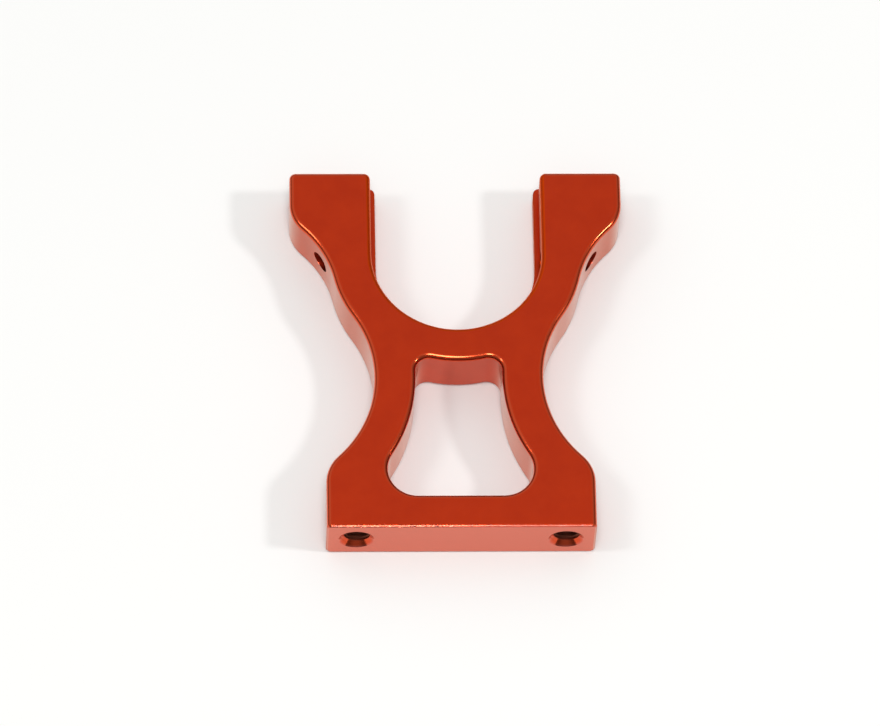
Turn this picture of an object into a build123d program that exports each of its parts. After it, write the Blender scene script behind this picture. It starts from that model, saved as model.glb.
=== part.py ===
from build123d import *
from math import sqrt, tan, radians
import os

# Slipper clutch mount: one flat bracket, milled from plate and anodised.
# The origin is the centre of the foot's end face, midway between its two tapped holes.
# X runs along the foot, the fork's arms reach towards +Y, and the plate is centred on
# z = 0. The side at +Z is the one that the bearing goes in from. Both sides of x = 0
# are alike. All sizes are in millimetres.

# Plate
thickness = 6.0
overall_length = 40.0
foot_width = 27.0
tip_span = 33.75
tip_corner_radius = 0.65

# Stepped seat of the bearing, open at the end of the fork
seat_radius = 8.65
seat_centre_y = 30.85
lip_width = 0.55
lip_thickness = 2.25
lip_chamfer = 0.12

# Outer profile, a chain of arcs that run into one another without a corner
rim_wall = 4.15
waist_width = 17.05
waist_radius = 12.3
neck_radius = 11.0
shoulder_radius = 4.0
tip_block_length = 3.6

# Window between the two ribs
foot_bar = 3.6
rib_width = 4.15
bridge_wall = 3.6
window_low_corner_radius = 3.0
window_high_corner_radius = 1.4

# M3 tapped holes in the end of the foot
foot_hole_spacing = 21.0
foot_tap_drill = 2.5
foot_hole_mouth = 3.6
foot_hole_depth = 6.5

# M2.5 tapped holes from the outside of each arm into the seat
arm_tap_drill = 2.05
arm_hole_y = 31.1
arm_hole_z = 0.3

# Broken edges of the profile and of the foot's end, and the drill's point
front_round = 0.5
back_chamfer = 0.35
foot_end_chamfer = 0.2
drill_point_angle = 118.0


def crossing(centre_a, reach_a, centre_b, reach_b, right_hand=True):
    """The point that lies reach_a from centre_a and reach_b from centre_b."""
    gap = centre_b - centre_a
    along = (reach_a**2 - reach_b**2 + gap.length**2) / (2 * gap.length)
    across = sqrt(reach_a**2 - along**2)
    ahead = gap.normalized()
    foot_point = centre_a + ahead * along
    aside = Vector(-ahead.Y, ahead.X) * across
    pair = sorted([foot_point - aside, foot_point + aside], key=lambda point: point.X)
    return pair[1] if right_hand else pair[0]


def towards(centre, radius, other):
    """The point of a circle where it touches a circle about another centre."""
    return centre + (other - centre).normalized() * radius


# Centres of the profile's arcs, on the right-hand side
seat_centre = Vector(0, seat_centre_y)
rim_radius = seat_radius + rim_wall
waist_x = waist_width / 2 + waist_radius
waist_drop = sqrt((waist_radius + rim_radius) ** 2 - waist_x**2)
waist_centre = Vector(waist_x, seat_centre_y - waist_drop)
shoulder_x = tip_span / 2 - shoulder_radius
shoulder_centre = Vector(shoulder_x, overall_length - tip_block_length)
neck_centre = crossing(
    seat_centre,
    rim_radius + neck_radius,
    shoulder_centre,
    shoulder_radius + neck_radius,
)
foot_shoulder_x = foot_width / 2 - shoulder_radius
foot_shoulder_drop = sqrt((waist_radius + shoulder_radius) ** 2 - (waist_x - foot_shoulder_x) ** 2)
foot_shoulder_centre = Vector(foot_shoulder_x, waist_centre.Y - foot_shoulder_drop)

# The foot is drawn longer than it is, and its end is milled flat once the edges are broken
stock_end = -2 * (front_round + back_chamfer)


def plate_face(fork_radius):
    """The outline with a fork of the given half width, drawn as far as stock_end at the foot."""
    foot_side_end = Vector(foot_width / 2, foot_shoulder_centre.Y)
    waist_start = towards(waist_centre, waist_radius, foot_shoulder_centre)
    rim_start = towards(seat_centre, rim_radius, waist_centre)
    rim_end = towards(seat_centre, rim_radius, neck_centre)
    neck_end = towards(neck_centre, neck_radius, shoulder_centre)
    shoulder_end = Vector(tip_span / 2, shoulder_centre.Y)
    fork_arc_start = Vector(fork_radius, seat_centre_y)
    fork_bottom = Vector(0, seat_centre_y - fork_radius)
    half = Polyline((0, stock_end), (foot_width / 2, stock_end), foot_side_end)
    half += RadiusArc(foot_side_end, waist_start, -shoulder_radius)
    half += RadiusArc(waist_start, rim_start, waist_radius)
    half += RadiusArc(rim_start, rim_end, -rim_radius)
    half += RadiusArc(rim_end, neck_end, neck_radius)
    half += RadiusArc(neck_end, shoulder_end, -shoulder_radius)
    half += Polyline(
        shoulder_end,
        (tip_span / 2, overall_length),
        (fork_radius, overall_length),
        fork_arc_start,
    )
    half += RadiusArc(fork_arc_start, fork_bottom, fork_radius)
    half += Line(fork_bottom, (0, stock_end))
    face = make_face(half)
    face += mirror(face, Plane.YZ)
    return fillet(face.vertices().group_by(Axis.Y)[-1], tip_corner_radius)


def window_face():
    """The window, whose sides follow the waist and whose top follows the seat."""
    side_radius = waist_radius + rib_width
    top_radius = seat_radius + bridge_wall
    low_y = foot_bar + window_low_corner_radius
    low_reach = side_radius + window_low_corner_radius
    low_x = waist_x - sqrt(low_reach**2 - (waist_centre.Y - low_y) ** 2)
    low_centre = Vector(low_x, low_y)
    high_centre = crossing(
        waist_centre,
        side_radius + window_high_corner_radius,
        seat_centre,
        top_radius + window_high_corner_radius,
        right_hand=False,
    )
    sill_end = Vector(low_x, foot_bar)
    side_start = towards(waist_centre, side_radius, low_centre)
    side_end = towards(waist_centre, side_radius, high_centre)
    top_start = towards(seat_centre, top_radius, high_centre)
    top_middle = Vector(0, seat_centre_y - top_radius)
    half = Line((0, foot_bar), sill_end)
    half += RadiusArc(sill_end, side_start, -window_low_corner_radius)
    half += RadiusArc(side_start, side_end, side_radius)
    half += RadiusArc(side_end, top_start, -window_high_corner_radius)
    half += RadiusArc(top_start, top_middle, top_radius)
    half += Line(top_middle, (0, foot_bar))
    face = make_face(half)
    return face + mirror(face, Plane.YZ)


def lip_edge_space(step_z):
    """The space of the chamfer along the lip's inner edge, from below the step up to it."""
    lip_radius = seat_radius - lip_width
    past_tips = overall_length + tip_block_length
    left = Vector(-lip_radius, seat_centre_y)
    right = Vector(lip_radius, seat_centre_y)
    slot = Polyline(left, (-lip_radius, past_tips), (lip_radius, past_tips), right)
    slot += RadiusArc(right, left, lip_radius)
    return Pos(0, 0, step_z - lip_chamfer) * extrude(make_face(slot), lip_chamfer, taper=-45)


def plate():
    """The plate with its stepped fork and its window, its edges broken and its foot milled flat."""
    back_z = -thickness / 2
    step_z = back_z + lip_thickness
    body = Pos(0, 0, back_z) * extrude(plate_face(seat_radius - lip_width), lip_thickness)
    body += Pos(0, 0, step_z) * extrude(plate_face(seat_radius), thickness - lip_thickness)
    body -= Pos(0, 0, back_z) * extrude(window_face(), thickness)
    back_face = body.faces().sort_by(Axis.Z)[0]
    body = chamfer(back_face.edges(), back_chamfer)
    front_face = body.faces().sort_by(Axis.Z)[-1]
    body = fillet(front_face.edges(), front_round)
    body -= lip_edge_space(step_z)
    body = split(body, Plane.XZ, keep=Keep.BOTTOM)
    foot_end = body.faces().sort_by(Axis.Y)[0]
    return chamfer(foot_end.edges(), foot_end_chamfer)


def foot_hole():
    """The space of one foot hole: it opens at z = 0 and runs down to a drilled point."""
    drill_radius = foot_tap_drill / 2
    mouth_radius = foot_hole_mouth / 2
    chamfer_depth = mouth_radius - drill_radius
    point_length = drill_radius / tan(radians(drill_point_angle / 2))
    section = Polyline(
        (0, 0),
        (mouth_radius, 0),
        (drill_radius, -chamfer_depth),
        (drill_radius, -foot_hole_depth),
        (0, -foot_hole_depth - point_length),
        close=True,
    )
    return revolve(Plane.XZ * make_face(section), Axis.Z)


def arm_holes():
    """The space of both arm holes, one round bar across the fork."""
    bar = Cylinder(arm_tap_drill / 2, tip_span)
    return Pos(0, arm_hole_y, arm_hole_z) * Rot(0, 90, 0) * bar


clutch_mount = plate() - arm_holes()
for side in (-1, 1):
    mouth = Plane((side * foot_hole_spacing / 2, 0, 0), z_dir=(0, -1, 0))
    clutch_mount -= mouth * foot_hole()

os.makedirs("parts", exist_ok=True)
export_step(clutch_mount, "parts/clutch_mount.step")
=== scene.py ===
import logging
import math
from dataclasses import dataclass
from enum import Enum
from typing import Any

import bmesh
import bpy
from mathutils import Matrix, Vector


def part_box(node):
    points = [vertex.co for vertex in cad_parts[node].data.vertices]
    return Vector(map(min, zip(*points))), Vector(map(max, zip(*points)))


# A slipper clutch mount of a radio-controlled car: one flat milled bracket, dyed
# orange-red, lying on its back on a white sheet. The CAD node keeps its shape. This
# script cuts the threads into its holes, gives it its finish, and sets up the floor,
# the lamps and the camera. Lengths are in millimetres until MM turns them to metres.

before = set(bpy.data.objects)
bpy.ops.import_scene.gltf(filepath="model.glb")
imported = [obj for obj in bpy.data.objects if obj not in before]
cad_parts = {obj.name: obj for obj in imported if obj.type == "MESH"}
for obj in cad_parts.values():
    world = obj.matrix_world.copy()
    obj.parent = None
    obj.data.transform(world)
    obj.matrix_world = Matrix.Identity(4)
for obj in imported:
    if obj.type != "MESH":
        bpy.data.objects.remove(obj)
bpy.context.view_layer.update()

MM = 0.001
NODE = "clutch_mount"
SLOT = "anodised_aluminium"
log = logging.getLogger("clutch_mount_scene")

# Nearly all values of a noise texture lie between these two
NOISE_LOW = 0.3
NOISE_HIGH = 0.7


def linear(hex_colour: str) -> tuple[float, float, float, float]:
    """Turns an sRGB hex colour to the linear values that the shaders take.

    Args:
        hex_colour: Six hex digits after a hash sign.

    Returns:
        Linear red, green and blue, with an alpha of 1.
    """
    parts = [int(hex_colour[i : i + 2], 16) / 255 for i in (1, 3, 5)]
    red, green, blue = (p / 12.92 if p <= 0.04045 else ((p + 0.055) / 1.055) ** 2.4 for p in parts)
    return red, green, blue, 1.0


def add_node(
    tree: bpy.types.NodeTree,
    kind: str,
    settings: dict[Any, Any] | None = None,
    links: dict[Any, bpy.types.NodeSocket] | None = None,
) -> bpy.types.Node:
    """Adds one node with its settings and links.

    Args:
        tree: The node tree that gets the node.
        kind: The node's type name.
        settings: Values by property name, input name or input number.
        links: Output sockets to join on, by input name or input number.

    Returns:
        The new node.
    """
    node = tree.nodes.new(kind)
    for key, value in (settings or {}).items():
        if isinstance(key, int) or key in node.inputs:
            node.inputs[key].default_value = value
        else:
            setattr(node, key, value)
    for key, socket in (links or {}).items():
        tree.links.new(socket, node.inputs[key])
    return node


def direction(azimuth: float, elevation: float) -> Vector:
    """Points a unit vector.

    Args:
        azimuth: Degrees from +X towards +Y.
        elevation: Degrees above the floor.

    Returns:
        The vector.
    """
    around = math.radians(azimuth)
    up = math.radians(elevation)
    return Vector((math.cos(up) * math.cos(around), math.cos(up) * math.sin(around), math.sin(up)))


class ThreadSize(Enum):
    """Metric coarse threads, as the radius of the drilled hole and the pitch, in millimetres."""

    M3 = (1.25, 0.5)
    M2_5 = (1.025, 0.45)

    @property
    def bore_radius(self) -> float:
        """The radius of the hole before it is tapped."""
        return self.value[0]

    @property
    def pitch(self) -> float:
        """The distance from one thread to the next."""
        return self.value[1]


@dataclass(frozen=True)
class Tap:
    """The space that a tap cuts out of the wall of a drilled hole.

    Attributes:
        size: The thread.
        start: A point on the hole's axis, outside its mouth.
        inward: The direction into the hole.
        length: How far the cut runs from the start.
        steps: How many steps one turn is drawn in.
        clearance: How far the ridge's feet lie inside the bore, so that it cuts cleanly.
    """

    size: ThreadSize
    start: Vector
    inward: Vector
    length: float
    steps: int = 40
    clearance: float = 0.03

    def ridge(self) -> list[tuple[float, float]]:
        """Works out one ridge of the tap: 60 degree flanks, and a flat top an eighth of the pitch wide.

        Returns:
            Pairs of distance along the axis and radius. The feet of the ridge lie inside the bore.
        """
        pitch = self.size.pitch
        flat = pitch / 8
        slant = math.tan(math.radians(30))
        depth = 5 / 16 * pitch / slant
        flank = (depth + self.clearance) * slant
        foot = self.size.bore_radius - self.clearance
        top = self.size.bore_radius + depth
        return [(0, foot), (flank, top), (flank + flat, top), (2 * flank + flat, foot)]

    def add_to(self, shell: bmesh.types.BMesh) -> None:
        """Adds the tap to a mesh as one closed helical body.

        Args:
            shell: The mesh that holds all the taps.
        """
        axis = self.inward.normalized()
        across = axis.orthogonal().normalized()
        upright = axis.cross(across)
        pitch = self.size.pitch
        ridge = self.ridge()
        last = int(self.length / pitch) * self.steps
        runout = last - self.steps
        rows = []
        for i in range(last + self.steps + 1):
            angle = 2 * math.pi * i / self.steps
            spoke = across * math.cos(angle) + upright * math.sin(angle)
            height = min(1.0, max(0.0, (last - i) / (last - runout)))
            row = []
            for offset, radius in ridge if i <= last else ridge[:1]:
                reach = ridge[0][1] + (radius - ridge[0][1]) * height
                along = pitch * i / self.steps + offset
                row.append(shell.verts.new((self.start + axis * along + spoke * reach) * MM))
            rows.append(row)
        for i in range(last):
            here, there = rows[i], rows[i + 1]
            for j in range(3):
                shell.faces.new((here[j], there[j], there[j + 1], here[j + 1]))
            shell.faces.new((here[3], there[3], rows[i + 1 + self.steps][0], rows[i + self.steps][0]))
        for i in (0, last):
            centre = shell.verts.new((self.start + axis * pitch * (i / self.steps + 0.5)) * MM)
            rim = rows[i] + [rows[j][0] for j in range(i + self.steps, i, -1)]
            for a, b in zip(rim, rim[1:] + rim[:1]):
                shell.faces.new((a, b, centre))


@dataclass(frozen=True)
class BracketSizes:
    """Where the bracket's features lie, in millimetres, as the CAD model has them.

    Attributes:
        foot_hole_x: From the middle plane to the axis of each hole in the foot.
        arm_hole_y: From the foot's end to the axis of the arms' holes.
        arm_hole_z: From the middle of the plate up to that axis.
        seat_y: From the foot's end to the centre of the seat's round end.
        seat_radius: Half the width of the seat.
        neck_x: From the middle plane to the centre of the hollow neck's arc.
        neck_y: From the foot's end to that centre.
        neck_radius: The radius of that arc.
    """

    foot_hole_x: float = 10.5
    arm_hole_y: float = 31.1
    arm_hole_z: float = 0.3
    seat_y: float = 30.85
    seat_radius: float = 8.65
    neck_x: float = 23.19
    neck_y: float = 25.52
    neck_radius: float = 11.0


@dataclass(frozen=True)
class Surface:
    """The sockets that tell a material where on the bracket it is.

    Attributes:
        tree: The material's node tree.
        spot: The place on the part, in millimetres.
        x: The place along the foot.
        aside: The distance from the middle plane.
        y: The distance from the foot's end.
        z: The height above the middle of the plate.
        level: 1 on the flat faces and 0 on the walls.
        wall_fade: The levels where the walls end and the rounded edges are full.
        face_fade: The levels where the rounded edges end and the flat faces are full.
    """

    tree: bpy.types.NodeTree
    spot: bpy.types.NodeSocket
    x: bpy.types.NodeSocket
    aside: bpy.types.NodeSocket
    y: bpy.types.NodeSocket
    z: bpy.types.NodeSocket
    level: bpy.types.NodeSocket
    wall_fade: tuple[float, float] = (0.02, 0.15)
    face_fade: tuple[float, float] = (0.985, 0.998)

    @classmethod
    def of(cls, tree: bpy.types.NodeTree) -> "Surface":
        """Adds the nodes that the sockets belong to.

        Args:
            tree: The material's node tree.

        Returns:
            The sockets.
        """
        place = add_node(tree, "ShaderNodeTexCoord")
        millimetres = add_node(
            tree,
            "ShaderNodeVectorMath",
            {"operation": "SCALE", "Scale": 1 / MM},
            {0: place.outputs["Object"]},
        )
        spot = millimetres.outputs[0]
        axes = add_node(tree, "ShaderNodeSeparateXYZ", links={0: spot})
        x, y, z = axes.outputs["X"], axes.outputs["Y"], axes.outputs["Z"]
        aside = add_node(tree, "ShaderNodeMath", {"operation": "ABSOLUTE"}, {0: x})
        facing = add_node(tree, "ShaderNodeSeparateXYZ", links={0: place.outputs["Normal"]})
        level = add_node(tree, "ShaderNodeMath", {"operation": "ABSOLUTE"}, {0: facing.outputs["Z"]})
        return cls(tree, spot, x, aside.outputs[0], y, z, level.outputs[0])

    def by_slope(self, wall: float, edge: float, face: float) -> bpy.types.NodeSocket:
        """Gives the walls, the rounded edges and the flat faces a value each.

        Args:
            wall: The value of the walls.
            edge: The value of the rounded edges.
            face: The value of the flat faces.

        Returns:
            The value.
        """
        wall_end, edge_full = self.wall_fade
        edge_end, face_full = self.face_fade
        side = add_node(
            self.tree,
            "ShaderNodeMapRange",
            {"From Min": wall_end, "From Max": edge_full, "To Min": wall, "To Max": edge},
            {"Value": self.level},
        )
        every = add_node(
            self.tree,
            "ShaderNodeMapRange",
            {"From Min": edge_end, "From Max": face_full, "To Max": face},
            {"Value": self.level, "To Min": side.outputs[0]},
        )
        return every.outputs[0]

    def near_axis(
        self,
        across: bpy.types.NodeSocket,
        centre: tuple[float, float],
        radius: float,
    ) -> bpy.types.NodeSocket:
        """Marks the places near the axis of a hole that runs along the plate.

        Args:
            across: The place along the plate, square to the hole.
            centre: The axis, as its place across and its height.
            radius: How far from the axis the mark reaches.

        Returns:
            1 near the axis and 0 elsewhere.
        """
        place = add_node(self.tree, "ShaderNodeCombineXYZ", links={0: across, 2: self.z})
        off_axis = add_node(
            self.tree,
            "ShaderNodeVectorMath",
            {"operation": "DISTANCE", 1: (centre[0], 0.0, centre[1])},
            {0: place.outputs[0]},
        )
        near = add_node(
            self.tree,
            "ShaderNodeMath",
            {"operation": "LESS_THAN", 1: radius},
            {0: off_axis.outputs["Value"]},
        )
        return near.outputs[0]

    def within(
        self,
        distance: bpy.types.NodeSocket,
        fade: tuple[float, float],
        mask: bpy.types.NodeSocket,
    ) -> bpy.types.NodeSocket:
        """Cuts a mark off, with a soft edge.

        Args:
            distance: The value that the mark depends on.
            fade: Where the mark is gone, and where it is full.
            mask: The mark so far.

        Returns:
            The mark that is left.
        """
        gone, full = fade
        kept = add_node(
            self.tree,
            "ShaderNodeMapRange",
            {"From Min": gone, "From Max": full},
            {"Value": distance},
        )
        both = add_node(
            self.tree,
            "ShaderNodeMath",
            {"operation": "MULTIPLY"},
            {0: mask, 1: kept.outputs[0]},
        )
        return both.outputs[0]


@dataclass(frozen=True)
class AnodisedAluminium:
    """Dyed anodised aluminium, tumbled before it was dyed.

    The clear oxide over the dye makes a wall that is seen at a low angle pale, while a
    face that is seen from above stays deep orange-red and satin. The milled walls are
    smoother than the tumbled faces, and the rounded edges are the smoothest: they draw
    the lamps out to thin bright lines, and their dye is a shade more orange. The fork
    and the holes were bored after the tumbling, so they are duller, and the arms' holes
    are coloured darker inside as painted shade. The foot's end face is coloured paler
    than the dye, and its front edge was scraped by hand, so it breaks the light into
    short bright flecks.

    Attributes:
        sizes: Where the bracket's features lie.
        dye: The dye's colour.
        dye_deep: The dye's colour where it took a shade deeper.
        dye_on_edges: The colour of the rounded edges.
        end_face_colour: The colour of the foot's end face, paler than the dye.
        dye_in_foot_holes: The colour inside the foot's holes.
        shaded_arm_hole_colour: The colour inside the arms' holes, darker than the dye as painted shade.
        bare_metal: The colour of bare aluminium that shows through a little dye.
        edge_tint: The colour of a surface that is seen at a low angle.
        face_roughness: How rough the tumbled faces are.
        wall_roughness: How rough the milled walls are.
        edge_roughness: How rough the rounded edges are.
        fork_roughness: How rough the fork's inner walls and their edges are.
        hole_roughness: How rough the holes are.
        scraped_roughness: How rough the scraped edge is where it is brightest.
        worn_roughness: How rough the scraped edge is where it is dullest.
        roughness_drift: How far the roughness varies from place to place.
        oxide_ior: The index of refraction of the clear oxide.
        oxide_roughness: How rough the oxide's surface is.
        wall_gloss: How much of the oxide's shine shows on the milled walls.
        edge_gloss: How much of it shows on the rounded edges.
        face_gloss: How much of it shows on the tumbled faces.
        mottle_size: The size of the patches where the dye took deeper, in millimetres.
        grain_size: The width of the tumbled grain as it is drawn.
        grain_depth: The depth of the tumbled grain.
        grain_on_walls: How much of the grain shows on the walls and edges.
        grain_on_faces: How much of it shows on the flat faces.
        flat_from: The level from which a surface counts as flat for the grain.
        cutter_mark: The width of the cutter's marks as they are drawn.
        cutter_length: The length of the cutter's marks.
        cutter_depth: The depth of the cutter's marks.
        cutter_strength: How much of them shows on the walls.
        steep_to: The level up to which a surface counts as a wall for the marks.
        fleck_width: The width of the flecks and burrs on the scraped edge.
        fleck_length: Their length along the foot.
        burr_height: The height of the burrs.
        fleck_fade: The noise where the flecks begin, and where they are full.
        most_bare: How bare the barest fleck is, where 1 is bare metal.
        end_fade: The distances from the foot's end where the end face's mark fades.
        scraped_y: The distances from the foot's end where the scraped edge fades.
        scraped_z: The heights where the scraped edge fades.
        worn_x: The places along the foot where the scraped edge dulls.
        foot_hole_reach: How far from its axis the wall of a foot hole lies, threads and all.
        foot_mouth_fade: The depths where a foot hole's mouth ends.
        foot_point_fade: The depths, past a foot hole's point, where its mark ends.
        arm_hole_reach: How far from its axis the wall of an arm hole lies, threads and all.
        seat_fade: The depths behind the seat's wall where an arm hole begins.
        neck_fade: The depths behind the neck's wall where an arm hole begins.
        fork_edge: How far past the seat's wall the fork's mark reaches, its rounded edge and all.
    """

    sizes: BracketSizes = BracketSizes()
    dye: str = "#CC3503"
    dye_deep: str = "#C43001"
    dye_on_edges: str = "#D4430A"
    end_face_colour: str = "#D65F4A"
    dye_in_foot_holes: str = "#A0604C"
    shaded_arm_hole_colour: str = "#7A1A0C"
    bare_metal: str = "#F4D9C4"
    edge_tint: str = "#FFFFEC"
    face_roughness: float = 0.31
    wall_roughness: float = 0.20
    edge_roughness: float = 0.16
    fork_roughness: float = 0.36
    hole_roughness: float = 0.60
    scraped_roughness: float = 0.17
    worn_roughness: float = 0.50
    roughness_drift: float = 0.02
    oxide_ior: float = 1.5
    oxide_roughness: float = 0.14
    wall_gloss: float = 0.52
    edge_gloss: float = 0.6
    face_gloss: float = 0.29
    mottle_size: float = 2.6
    grain_size: float = 0.12
    grain_depth: float = 0.004
    grain_on_walls: float = 0.1
    grain_on_faces: float = 0.6
    flat_from: float = 0.97
    cutter_mark: float = 0.35
    cutter_length: float = 25.0
    cutter_depth: float = 0.008
    cutter_strength: float = 0.5
    steep_to: float = 0.3
    fleck_width: float = 0.14
    fleck_length: float = 0.4
    burr_height: float = 0.05
    fleck_fade: tuple[float, float] = (0.42, 0.66)
    most_bare: float = 0.05
    end_fade: tuple[float, float] = (0.16, 0.04)
    scraped_y: tuple[float, float] = (0.30, 0.20)
    scraped_z: tuple[float, float] = (2.70, 2.80)
    worn_x: tuple[float, float] = (-1.0, 6.0)
    foot_hole_reach: float = 1.62
    foot_mouth_fade: tuple[float, float] = (0.45, 0.75)
    foot_point_fade: tuple[float, float] = (8.001, 7.999)
    arm_hole_reach: float = 1.45
    seat_fade: tuple[float, float] = (0.10, 0.30)
    neck_fade: tuple[float, float] = (0.005, 0.03)
    fork_edge: float = 0.55

    def material(self) -> bpy.types.Material:
        """Builds the finish.

        Returns:
            The material, for the bracket's own slot.
        """
        material = bpy.data.materials.new(SLOT)
        material.use_nodes = True
        tree = material.node_tree
        tree.nodes.clear()
        surface = Surface.of(tree)
        in_foot = self.in_foot_holes(surface)
        in_arms = self.in_arm_holes(surface)
        in_fork = self.fork_sides(surface)
        in_holes = add_node(tree, "ShaderNodeMath", {"operation": "MAXIMUM"}, {0: in_foot, 1: in_arms})
        bored = add_node(
            tree,
            "ShaderNodeMath",
            {"operation": "MAXIMUM"},
            {0: in_holes.outputs[0], 1: in_fork},
        )
        gloss = add_node(
            tree,
            "ShaderNodeMix",
            {"data_type": "FLOAT", 3: 0.0},
            {0: bored.outputs[0], 2: surface.by_slope(self.wall_gloss, self.edge_gloss, self.face_gloss)},
        )
        shader = add_node(
            tree,
            "ShaderNodeBsdfPrincipled",
            {
                "Metallic": 1.0,
                "Specular Tint": linear(self.edge_tint),
                "Coat IOR": self.oxide_ior,
                "Coat Roughness": self.oxide_roughness,
            },
            {
                "Base Color": self.colour(surface, in_foot, in_arms),
                "Roughness": self.roughness(surface, in_holes.outputs[0], in_fork),
                "Normal": self.relief(surface),
                "Coat Weight": gloss.outputs[0],
            },
        )
        add_node(tree, "ShaderNodeOutputMaterial", links={"Surface": shader.outputs[0]})
        return material

    def in_foot_holes(self, surface: Surface) -> bpy.types.NodeSocket:
        """Marks the insides of the foot's holes.

        Args:
            surface: The place on the bracket.

        Returns:
            1 inside the holes and 0 elsewhere.
        """
        axis = self.sizes.foot_hole_x, 0.0
        near = surface.near_axis(surface.aside, axis, self.foot_hole_reach)
        past_mouth = surface.within(surface.y, self.foot_mouth_fade, near)
        return surface.within(surface.y, self.foot_point_fade, past_mouth)

    def in_arm_holes(self, surface: Surface) -> bpy.types.NodeSocket:
        """Marks the insides of the arms' holes, between the seat and the neck's wall.

        Args:
            surface: The place on the bracket.

        Returns:
            1 inside the holes and 0 elsewhere.
        """
        sizes = self.sizes
        axis = sizes.arm_hole_y, sizes.arm_hole_z
        inside = surface.near_axis(surface.y, axis, self.arm_hole_reach)
        plan = add_node(surface.tree, "ShaderNodeCombineXYZ", links={0: surface.aside, 1: surface.y})
        walls = (
            ((0.0, sizes.seat_y, 0.0), sizes.seat_radius, self.seat_fade),
            ((sizes.neck_x, sizes.neck_y, 0.0), sizes.neck_radius, self.neck_fade),
        )
        for centre, radius, depths in walls:
            off_centre = add_node(
                surface.tree,
                "ShaderNodeVectorMath",
                {"operation": "DISTANCE", 1: centre},
                {0: plan.outputs[0]},
            )
            fade = radius + depths[0], radius + depths[1]
            inside = surface.within(off_centre.outputs["Value"], fade, inside)
        return inside

    def fork_sides(self, surface: Surface) -> bpy.types.NodeSocket:
        """Marks the fork's inner walls and their edges.

        Args:
            surface: The place on the bracket.

        Returns:
            1 on the inner walls and their edges, and 0 elsewhere.
        """
        tree = surface.tree
        past_seat = add_node(
            tree,
            "ShaderNodeMath",
            {"operation": "SUBTRACT", 1: self.sizes.seat_y},
            {0: surface.y},
        )
        below = add_node(
            tree,
            "ShaderNodeMath",
            {"operation": "MINIMUM", 1: 0.0},
            {0: past_seat.outputs[0]},
        )
        plan = add_node(tree, "ShaderNodeCombineXYZ", links={0: surface.x, 1: below.outputs[0]})
        aside = add_node(tree, "ShaderNodeVectorMath", {"operation": "LENGTH"}, {0: plan.outputs[0]})
        near = add_node(
            tree,
            "ShaderNodeMath",
            {"operation": "LESS_THAN", 1: self.sizes.seat_radius + self.fork_edge},
            {0: aside.outputs["Value"]},
        )
        sides = add_node(
            tree,
            "ShaderNodeMath",
            {"operation": "MULTIPLY"},
            {0: near.outputs[0], 1: surface.by_slope(1.0, 1.0, 0.0)},
        )
        return sides.outputs[0]

    def scraped_edge(self, surface: Surface) -> bpy.types.NodeSocket:
        """Marks the small chamfer along the foot's front edge.

        Args:
            surface: The place on the bracket.

        Returns:
            1 on the chamfer and 0 elsewhere.
        """
        gone, full = self.scraped_y
        near_end = add_node(
            surface.tree,
            "ShaderNodeMapRange",
            {"From Min": gone, "From Max": full},
            {"Value": surface.y},
        )
        return surface.within(surface.z, self.scraped_z, near_end.outputs[0])

    def colour(
        self,
        surface: Surface,
        in_foot: bpy.types.NodeSocket,
        in_arms: bpy.types.NodeSocket,
    ) -> bpy.types.NodeSocket:
        """Works out the dye's colour, which varies by a shade from place to place.

        Args:
            surface: The place on the bracket.
            in_foot: 1 inside the foot's holes and 0 elsewhere.
            in_arms: 1 inside the arms' holes and 0 elsewhere.

        Returns:
            The colour.
        """
        tree = surface.tree
        mottle = add_node(
            tree,
            "ShaderNodeTexNoise",
            {"Scale": 1 / self.mottle_size, "Detail": 3.0, "Roughness": 0.6},
            {"Vector": surface.spot},
        )
        shade = add_node(
            tree,
            "ShaderNodeMapRange",
            {"From Min": NOISE_LOW, "From Max": NOISE_HIGH},
            {"Value": mottle.outputs[0]},
        )
        dyed = add_node(
            tree,
            "ShaderNodeMix",
            {"data_type": "RGBA", 6: linear(self.dye), 7: linear(self.dye_deep)},
            {0: shade.outputs[0]},
        )
        scatter = add_node(
            tree,
            "ShaderNodeTexNoise",
            {"Scale": 1 / self.fleck_width, "Detail": 2.0},
            {"Vector": surface.spot},
        )
        fleck_start, fleck_full = self.fleck_fade
        bare = add_node(
            tree,
            "ShaderNodeMapRange",
            {"From Min": fleck_start, "From Max": fleck_full, "To Max": self.most_bare},
            {"Value": scatter.outputs[0]},
        )
        flecks = add_node(
            tree,
            "ShaderNodeMath",
            {"operation": "MULTIPLY"},
            {0: bare.outputs[0], 1: self.scraped_edge(surface)},
        )
        end_gone, end_full = self.end_fade
        on_end = add_node(
            tree,
            "ShaderNodeMapRange",
            {"From Min": end_gone, "From Max": end_full},
            {"Value": surface.y},
        )
        places = (
            (surface.by_slope(0.0, 1.0, 0.0), self.dye_on_edges),
            # the foot's end face is coloured paler than the dye
            (on_end.outputs[0], self.end_face_colour),
            (in_foot, self.dye_in_foot_holes),
            # painted shade: the insides of the arms' holes are coloured darker than the dye
            (in_arms, self.shaded_arm_hole_colour),
            (flecks.outputs[0], self.bare_metal),
        )
        colour = dyed.outputs[2]
        for mask, tone in places:
            laid = add_node(
                tree,
                "ShaderNodeMix",
                {"data_type": "RGBA", 7: linear(tone)},
                {0: mask, 6: colour},
            )
            colour = laid.outputs[2]
        return colour

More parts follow.
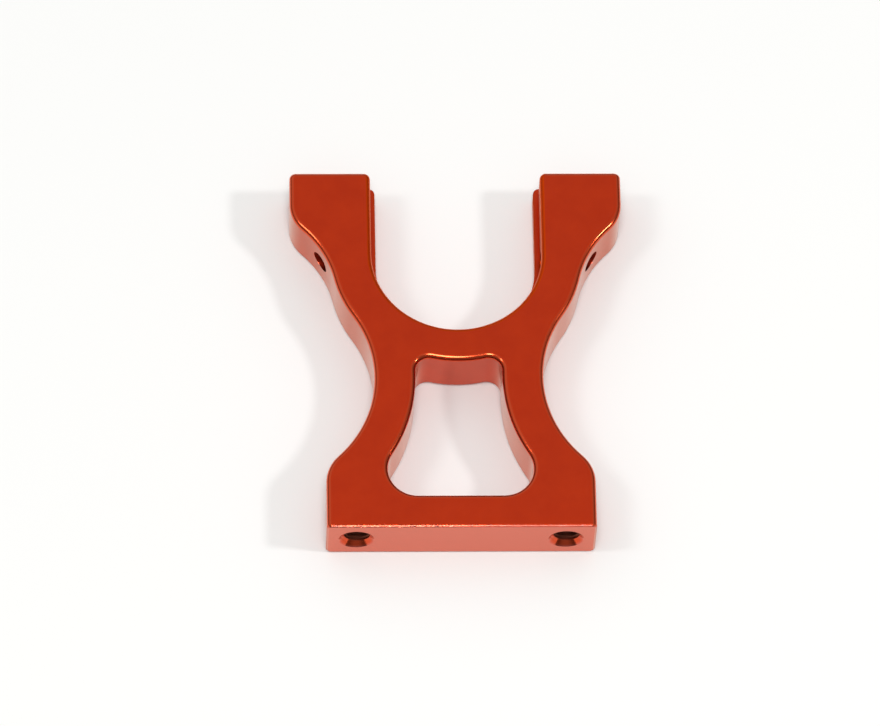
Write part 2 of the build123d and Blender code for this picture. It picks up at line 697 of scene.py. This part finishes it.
    def roughness(
        self,
        surface: Surface,
        in_holes: bpy.types.NodeSocket,
        in_fork: bpy.types.NodeSocket,
    ) -> bpy.types.NodeSocket:
        """Makes the tumbled faces duller than the milled walls and edges, and what was bored the dullest.

        Args:
            surface: The place on the bracket.
            in_holes: 1 inside the holes and 0 elsewhere.
            in_fork: 1 on the fork's inner walls and their edges, and 0 elsewhere.

        Returns:
            The roughness.
        """
        tree = surface.tree
        haze = add_node(
            tree,
            "ShaderNodeTexNoise",
            {"Scale": 1 / (2 * self.mottle_size), "Detail": 2.0},
            {"Vector": surface.spot},
        )
        drift = add_node(
            tree,
            "ShaderNodeMapRange",
            {
                "From Min": NOISE_LOW,
                "From Max": NOISE_HIGH,
                "To Min": -self.roughness_drift,
                "To Max": self.roughness_drift,
            },
            {"Value": haze.outputs[0]},
        )
        slope = surface.by_slope(self.wall_roughness, self.edge_roughness, self.face_roughness)
        tumbled = add_node(
            tree,
            "ShaderNodeMath",
            {"operation": "ADD"},
            {0: slope, 1: drift.outputs[0]},
        )
        forked = add_node(
            tree,
            "ShaderNodeMix",
            {"data_type": "FLOAT", 3: self.fork_roughness},
            {0: in_fork, 2: tumbled.outputs[0]},
        )
        bright_to, dull_from = self.worn_x
        dulled = add_node(
            tree,
            "ShaderNodeMapRange",
            {
                "From Min": bright_to,
                "From Max": dull_from,
                "To Min": self.scraped_roughness,
                "To Max": self.worn_roughness,
            },
            {"Value": surface.x},
        )
        scraped = add_node(
            tree,
            "ShaderNodeMix",
            {"data_type": "FLOAT"},
            {0: self.scraped_edge(surface), 2: forked.outputs[0], 3: dulled.outputs[0]},
        )
        bored = add_node(
            tree,
            "ShaderNodeMix",
            {"data_type": "FLOAT", 3: self.hole_roughness},
            {0: in_holes, 2: scraped.outputs[0]},
        )
        return bored.outputs[0]

    def relief(self, surface: Surface) -> bpy.types.NodeSocket:
        """Adds the tumbled grain, the cutter's marks on the walls and the scraped edge.

        Real tumbled grain is about 0.03 mm wide, too fine to show, so it is drawn at
        grain_size. The cutter's marks run up the walls, and are drawn as wide as they
        need to show.

        Args:
            surface: The place on the bracket.

        Returns:
            The bumped normal.
        """
        tree = surface.tree
        grain = add_node(
            tree,
            "ShaderNodeTexNoise",
            {"Scale": 1 / self.grain_size, "Detail": 2.0},
            {"Vector": surface.spot},
        )
        on_face = add_node(
            tree,
            "ShaderNodeMapRange",
            {
                "From Min": self.flat_from,
                "From Max": 1.0,
                "To Min": self.grain_on_walls,
                "To Max": self.grain_on_faces,
            },
            {"Value": surface.level},
        )
        tumbled = add_node(
            tree,
            "ShaderNodeBump",
            {"Distance": self.grain_depth * MM},
            {"Height": grain.outputs[0], "Strength": on_face.outputs[0]},
        )
        upright = 1 / self.cutter_mark, 1 / self.cutter_mark, 1 / self.cutter_length
        stretched = add_node(
            tree,
            "ShaderNodeVectorMath",
            {"operation": "MULTIPLY", 1: upright},
            {0: surface.spot},
        )
        cusps = add_node(
            tree,
            "ShaderNodeTexNoise",
            {"Scale": 1.0, "Detail": 3.0},
            {"Vector": stretched.outputs[0]},
        )
        on_wall = add_node(
            tree,
            "ShaderNodeMapRange",
            {"From Max": self.steep_to, "To Min": self.cutter_strength, "To Max": 0.0},
            {"Value": surface.level},
        )
        milled = add_node(
            tree,
            "ShaderNodeBump",
            {"Distance": self.cutter_depth * MM},
            {"Height": cusps.outputs[0], "Strength": on_wall.outputs[0], "Normal": tumbled.outputs[0]},
        )
        along_foot = 1 / self.fleck_length, 1 / self.fleck_width, 1 / self.fleck_width
        drawn = add_node(
            tree,
            "ShaderNodeVectorMath",
            {"operation": "MULTIPLY", 1: along_foot},
            {0: surface.spot},
        )
        burrs = add_node(
            tree,
            "ShaderNodeTexNoise",
            {"Scale": 1.0, "Detail": 2.0, "Roughness": 0.6},
            {"Vector": drawn.outputs[0]},
        )
        scraped = add_node(
            tree,
            "ShaderNodeBump",
            {"Distance": self.burr_height * MM},
            {
                "Height": burrs.outputs[0],
                "Strength": self.scraped_edge(surface),
                "Normal": milled.outputs[0],
            },
        )
        return scraped.outputs[0]


@dataclass(frozen=True)
class WhiteCard:
    """Matt white card, pressed and uncoated. It takes soft shadows and shows no gloss."""

    paper: str = "#F7F7F5"
    roughness: float = 0.8

    def material(self) -> bpy.types.Material:
        """Builds the finish.

        Returns:
            The material of the floor.
        """
        material = bpy.data.materials.new("white_card")
        material.use_nodes = True
        shader = material.node_tree.nodes["Principled BSDF"]
        shader.inputs["Base Color"].default_value = linear(self.paper)
        shader.inputs["Roughness"].default_value = self.roughness
        shader.inputs["Specular IOR Level"].default_value = 0.0
        return material


@dataclass
class ClutchMount:
    """The bracket itself: the CAD node with its threads cut and its finish on.

    Attributes:
        node: The CAD node.
        sizes: Where the bracket's features lie.
        foot_tap_y: Where the foot's taps start, outside the mouths.
        foot_thread_length: How far they cut from there.
        arm_tap_x: Where the arms' taps start, behind the smooth mouths.
        arm_thread_length: How far they cut from there.
        weld_reach: How near two points of the surface lie when they are joined.
        flat_within: The angle between two facets that still count as one flat, in degrees.
        crease: The angle from which a corner is shaded crisp, in degrees.
        scraped_edge_y: How far from the foot's end the scraped edge reaches.
        scraped_edge_z: The height where the scraped edge begins.
        scraped_edge_half: How far from the middle plane the scraped edge reaches.
    """

    node: bpy.types.Object
    sizes: BracketSizes = BracketSizes()
    foot_tap_y: float = -0.7
    foot_thread_length: float = 6.0
    arm_tap_x: float = 11.2
    arm_thread_length: float = 1.9
    weld_reach: float = 0.0005
    flat_within: float = 0.5
    crease: float = 32.0
    scraped_edge_y: float = 0.25
    scraped_edge_z: float = 2.9
    scraped_edge_half: float = 12.9

    def taps(self) -> bpy.types.Object:
        """Makes the cutter that taps all four holes.

        Returns:
            One object that holds four closed bodies. It isn't rendered.
        """
        shell = bmesh.new()
        for side in (-1, 1):
            mouth = Vector((side * self.sizes.foot_hole_x, self.foot_tap_y, 0))
            Tap(ThreadSize.M3, mouth, Vector((0, 1, 0)), self.foot_thread_length).add_to(shell)
            outside = Vector((side * self.arm_tap_x, self.sizes.arm_hole_y, self.sizes.arm_hole_z))
            Tap(ThreadSize.M2_5, outside, Vector((-side, 0, 0)), self.arm_thread_length).add_to(shell)
        bmesh.ops.recalc_face_normals(shell, faces=shell.faces)
        mesh = bpy.data.meshes.new("taps")
        shell.to_mesh(mesh)
        shell.free()
        taps = bpy.data.objects.new("taps", mesh)
        bpy.context.scene.collection.objects.link(taps)
        taps.hide_render = True
        taps.display_type = "WIRE"
        return taps

    def crisp_edges(self) -> bpy.types.NodeTree:
        """Marks every corner as sharp but those of the foot's front edge, which was scraped round.

        Returns:
            The geometry nodes, for a modifier.
        """
        tree = bpy.data.node_groups.new("crisp_edges", "GeometryNodeTree")
        tree.interface.new_socket("Geometry", in_out="INPUT", socket_type="NodeSocketGeometry")
        tree.interface.new_socket("Geometry", in_out="OUTPUT", socket_type="NodeSocketGeometry")
        came = add_node(tree, "NodeGroupInput")
        fold = add_node(tree, "GeometryNodeInputMeshEdgeAngle")
        corner = add_node(
            tree,
            "FunctionNodeCompare",
            {"operation": "GREATER_THAN", 1: math.radians(self.crease)},
            {0: fold.outputs[0]},
        )
        place = add_node(tree, "GeometryNodeInputPosition")
        axes = add_node(tree, "ShaderNodeSeparateXYZ", links={0: place.outputs[0]})
        off_end = add_node(
            tree,
            "FunctionNodeCompare",
            {"operation": "GREATER_THAN", 1: self.scraped_edge_y * MM},
            {0: axes.outputs["Y"]},
        )
        off_front = add_node(
            tree,
            "FunctionNodeCompare",
            {"operation": "LESS_THAN", 1: self.scraped_edge_z * MM},
            {0: axes.outputs["Z"]},
        )
        aside = add_node(tree, "ShaderNodeMath", {"operation": "ABSOLUTE"}, {0: axes.outputs["X"]})
        off_middle = add_node(
            tree,
            "FunctionNodeCompare",
            {"operation": "GREATER_THAN", 1: self.scraped_edge_half * MM},
            {0: aside.outputs[0]},
        )
        off_line = add_node(
            tree,
            "FunctionNodeBooleanMath",
            {"operation": "OR"},
            {0: off_end.outputs[0], 1: off_front.outputs[0]},
        )
        elsewhere = add_node(
            tree,
            "FunctionNodeBooleanMath",
            {"operation": "OR"},
            {0: off_line.outputs[0], 1: off_middle.outputs[0]},
        )
        sharp = add_node(
            tree,
            "FunctionNodeBooleanMath",
            {"operation": "AND"},
            {0: corner.outputs[0], 1: elsewhere.outputs[0]},
        )
        smooth = add_node(
            tree,
            "GeometryNodeSetShadeSmooth",
            {"domain": "FACE", "Shade Smooth": True},
            {0: came.outputs[0]},
        )
        marked = add_node(
            tree,
            "GeometryNodeStoreNamedAttribute",
            {"data_type": "BOOLEAN", "domain": "EDGE", "Name": "sharp_edge"},
            {"Geometry": smooth.outputs[0], "Value": sharp.outputs[0]},
        )
        add_node(tree, "NodeGroupOutput", links={0: marked.outputs[0]})
        return tree

    def join_points(self, name: str) -> None:
        """Joins the points of the surface that lie on one another.

        Args:
            name: The name of the modifier that joins them.
        """
        weld = self.node.modifiers.new(name, "WELD")
        weld.merge_threshold = self.weld_reach * MM

    def build(self) -> None:
        """Joins up the node's surface, cuts the threads and shades its corners crisp."""
        self.join_points("join_faces")
        cut = self.node.modifiers.new("cut_threads", "BOOLEAN")
        cut.operation = "DIFFERENCE"
        cut.solver = "EXACT"
        cut.object = self.taps()
        self.join_points("join_cut")
        merge = self.node.modifiers.new("merge_flats", "DECIMATE")
        merge.decimate_type = "DISSOLVE"
        merge.angle_limit = math.radians(self.flat_within)
        corners = self.node.modifiers.new("crisp_corners", "NODES")
        corners.node_group = self.crisp_edges()
        normals = self.node.modifiers.new("flat_faces", "WEIGHTED_NORMAL")
        normals.weight = 50
        normals.keep_sharp = True

    def dress(self, finish: AnodisedAluminium) -> None:
        """Gives the node its finish.

        Args:
            finish: The finish of the whole bracket.
        """
        material = finish.material()
        if not self.node.material_slots:
            self.node.data.materials.append(material)
        for slot in self.node.material_slots:
            slot.material = material


@dataclass(frozen=True)
class Lamp:
    """A soft lamp that faces the bracket.

    Attributes:
        name: The lamp's name.
        azimuth: Where it stands, in degrees from +X towards +Y.
        elevation: How high it stands, in degrees.
        distance: How far away it stands, in metres.
        width: How wide its face is, in metres.
        height: How tall its face is, in metres.
        share: How bright it makes a white floor, where 1 is white.
    """

    name: str
    azimuth: float
    elevation: float
    distance: float
    width: float
    height: float
    share: float

    def add(self, aim: Vector) -> bpy.types.Object:
        """Adds the lamp to the scene.

        Args:
            aim: The point that it faces.

        Returns:
            The lamp.
        """
        towards = direction(self.azimuth, self.elevation)
        light = bpy.data.lights.new(self.name, "AREA")
        light.shape = "ELLIPSE"
        light.size = self.width
        light.size_y = self.height
        light.energy = self.share * math.pi**2 * self.distance**2 / towards.z
        lamp = bpy.data.objects.new(self.name, light)
        lamp.location = aim + towards * self.distance
        lamp.rotation_euler = towards.to_track_quat("Z", "Y").to_euler()
        bpy.context.scene.collection.objects.link(lamp)
        return lamp


@dataclass(frozen=True)
class Studio:
    """A white sheet in a dim room, with an overhead softbox and a lamp on each side.

    Attributes:
        floor_half: Half the width of the sheet, in metres.
        horizon: How bright the room is far from its brightest part, where 1 is white.
        ceiling: How bright it is at its brightest.
        ceiling_azimuth: Where its brightest part is, in degrees from +X towards +Y.
        ceiling_elevation: How high that part is, in degrees.
        ceiling_reach: How far round the light falls off, as cosines of the angle from it.
        dark_band: What share of its light the room keeps low down, where dark things stand.
        band_climb: How high the band lies, as sines of the elevation.
        lamps: The lamps.
    """

    floor_half: float = 2.5
    horizon: float = 0.34
    ceiling: float = 0.70
    ceiling_azimuth: float = 125.0
    ceiling_elevation: float = 60.0
    ceiling_reach: tuple[float, float] = (0.35, 0.95)
    dark_band: float = 0.4
    band_climb: tuple[float, float] = (0.15, 0.5)
    lamps: tuple[Lamp, ...] = (
        Lamp("overhead_softbox", -95.0, 74.0, 0.9, 0.24, 0.36, 0.36),
        Lamp("right_lamp", -8.0, 44.0, 1.0, 0.11, 0.11, 0.15),
        Lamp("left_lamp", 185.0, 55.0, 1.0, 0.13, 0.26, 0.09),
    )

    def floor(self, height: float) -> bpy.types.Object:
        """Lays the white sheet.

        Args:
            height: The height of the sheet, in metres.

        Returns:
            The floor.
        """
        half = self.floor_half
        corners = [(-half, -half, height), (half, -half, height), (half, half, height), (-half, half, height)]
        mesh = bpy.data.meshes.new("floor")
        mesh.from_pydata(corners, [], [(0, 1, 2, 3)])
        mesh.materials.append(WhiteCard().material())
        sheet = bpy.data.objects.new("floor", mesh)
        bpy.context.scene.collection.objects.link(sheet)
        return sheet

    def world(self) -> None:
        """Makes the room: dim near the horizon and bright overhead, most of all at the back left."""
        world = bpy.data.worlds.new("room")
        bpy.context.scene.world = world
        world.use_nodes = True
        tree = world.node_tree
        tree.nodes.clear()
        ray = add_node(tree, "ShaderNodeTexCoord")
        middle = direction(self.ceiling_azimuth, self.ceiling_elevation)
        dimmest, brightest = self.ceiling_reach
        facing = add_node(
            tree,
            "ShaderNodeVectorMath",
            {"operation": "DOT_PRODUCT", 1: middle},
            {0: ray.outputs["Generated"]},
        )
        climb = add_node(
            tree,
            "ShaderNodeMapRange",
            {
                "interpolation_type": "SMOOTHSTEP",
                "From Min": dimmest,
                "From Max": brightest,
                "To Min": self.horizon,
                "To Max": self.ceiling,
            },
            {"Value": facing.outputs["Value"]},
        )
        height = add_node(tree, "ShaderNodeSeparateXYZ", links={0: ray.outputs["Generated"]})
        band_low, band_top = self.band_climb
        low_down = add_node(
            tree,
            "ShaderNodeMapRange",
            {
                "interpolation_type": "SMOOTHSTEP",
                "From Min": band_low,
                "From Max": band_top,
                "To Min": self.dark_band,
            },
            {"Value": height.outputs["Z"]},
        )
        strength = add_node(
            tree,
            "ShaderNodeMath",
            {"operation": "MULTIPLY"},
            {0: climb.outputs[0], 1: low_down.outputs[0]},
        )
        room = add_node(
            tree,
            "ShaderNodeBackground",
            {"Color": (1.0, 1.0, 1.0, 1.0)},
            {"Strength": strength.outputs[0]},
        )
        add_node(tree, "ShaderNodeOutputWorld", links={"Surface": room.outputs[0]})

    def light(self, aim: Vector) -> None:
        """Adds the lamps.

        Args:
            aim: The point that they face.
        """
        for lamp in self.lamps:
            lamp.add(aim)
            log.info("lamp %s", lamp.name)


@dataclass(frozen=True)
class PhotoCamera:
    """The photograph's camera: a long lens, from above the foot.

    Attributes:
        image_width: The photograph's width in pixels.
        image_height: The photograph's height in pixels.
        focal_pixels: The focal length in pixels.
        elevation: How far the camera looks down, in degrees.
        turn: How far it stands to the left of the bracket's middle plane, in degrees.
        roll: How far the picture is turned, in degrees.
        distance: From the foot's lower front edge to the camera, in millimetres.
        foot_pixel: Where the middle of that edge is seen, in pixels.
        clip_start: The nearest distance that the camera sees, in metres.
        clip_end: The farthest, in metres.
    """

    image_width: float = 880.0
    image_height: float = 726.0
    focal_pixels: float = 8185.2
    elevation: float = 63.31
    turn: float = 4.554
    roll: float = 3.949
    distance: float = 821.6
    foot_pixel: tuple[float, float] = (460.27, 552.06)
    clip_start: float = 0.05
    clip_end: float = 20.0

    def place(self, foot: Vector) -> bpy.types.Object:
        """Stands the camera where the photograph was taken from.

        Args:
            foot: The middle of the foot's lower front edge, in metres.

        Returns:
            The camera.
        """
        data = bpy.data.cameras.new("photo_camera")
        data.sensor_fit = "HORIZONTAL"
        data.lens = data.sensor_width * self.focal_pixels / self.image_width
        data.clip_start = self.clip_start
        data.clip_end = self.clip_end
        camera = bpy.data.objects.new("photo_camera", data)
        turned = Matrix.Rotation(-math.radians(self.turn), 4, "Z")
        tilted = Matrix.Rotation(math.radians(90 - self.elevation), 4, "X")
        rolled = Matrix.Rotation(math.radians(self.roll), 4, "Z")
        pose = turned @ tilted @ rolled
        depth = self.distance * MM
        aside = (self.foot_pixel[0] - self.image_width / 2) / self.focal_pixels * depth
        below = (self.foot_pixel[1] - self.image_height / 2) / self.focal_pixels * depth
        camera.matrix_world = Matrix.Translation(foot + pose @ Vector((-aside, below, depth))) @ pose
        bpy.context.scene.collection.objects.link(camera)
        bpy.context.scene.camera = camera
        return camera


def main() -> None:
    """Builds the scene in order and reports each piece."""
    logging.basicConfig(level=logging.INFO, format="%(name)s: %(message)s")
    bpy.context.scene.view_settings.view_transform = "Standard"
    low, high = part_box(NODE)
    centre = (low + high) / 2
    mount = ClutchMount(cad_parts[NODE])
    mount.build()
    mount.dress(AnodisedAluminium())
    log.info("bracket %s dressed", NODE)
    studio = Studio()
    studio.floor(low.z)
    studio.world()
    studio.light(centre)
    log.info("floor, room and lamps placed")
    PhotoCamera().place(Vector((centre.x, low.y, low.z)))
    log.info("camera placed")


if __name__ == "__main__":
    main()
